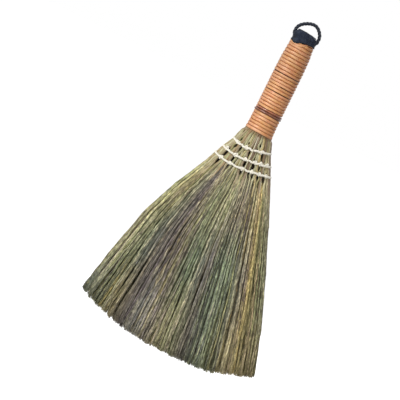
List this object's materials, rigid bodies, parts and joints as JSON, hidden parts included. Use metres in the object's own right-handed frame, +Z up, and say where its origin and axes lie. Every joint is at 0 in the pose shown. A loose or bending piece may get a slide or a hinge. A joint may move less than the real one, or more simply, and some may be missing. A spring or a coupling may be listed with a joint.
{
  "type": "desk broom",
  "caption": "Small hand broom: a flat stitched straw fan bound into a round cane-wound handle, with a cloth end cap and a cord loop to hang it by.",
  "frame": {"origin": "where a hook bears on the inside of the hanging loop, at its crest", "axes": "+Z up along the handle with the broom hanging, +X across the fan to the right as seen from the front, the front looks along -Y"},
  "size_m": [0.1632, 0.0254, 0.3098],
  "materials": {
    "straw": "dry matt broom straw",
    "stalk": "smooth dry stalk",
    "wire": "plain drawn wire",
    "thread": "twisted cotton thread",
    "cane": "satin lacquered cane",
    "dark_cane": "glossy dark stained cane",
    "twine": "pale cotton twine",
    "cap_cloth": "dark woven cloth",
    "loop_cord": "dark twisted cord"
  },
  "bodies": {
    "broom": {"left_edge_bundle": "straw", "left_outer_bundle": "straw", "left_inner_bundle": "straw", "middle_bundle": "straw", "right_inner_bundle": "straw", "right_outer_bundle": "straw", "right_edge_bundle": "straw", "handle_stalks": "stalk", "neck_wire": "wire", "handle_wire": "wire", "end_thread": "thread", "lower_cane_winding": "cane", "dark_cane_band": "dark_cane", "middle_cane_winding": "cane", "upper_cane_winding": "cane", "top_cane_winding": "cane", "upper_stitch_row": "twine", "middle_stitch_row": "twine", "lower_stitch_row": "twine", "end_cap": "cap_cloth"},
    "loop": {"hanging_loop": "loop_cord"}
  },
  "joints": [
    {"name": "loop_lean", "type": "hinge", "parent": "broom", "child": "loop", "pos_m": [0, 0, -0.0093], "axis": [1, 0, 0], "range_deg": [-45, 45], "stiffness_Nm_per_rad": 0.002}
  ]
}
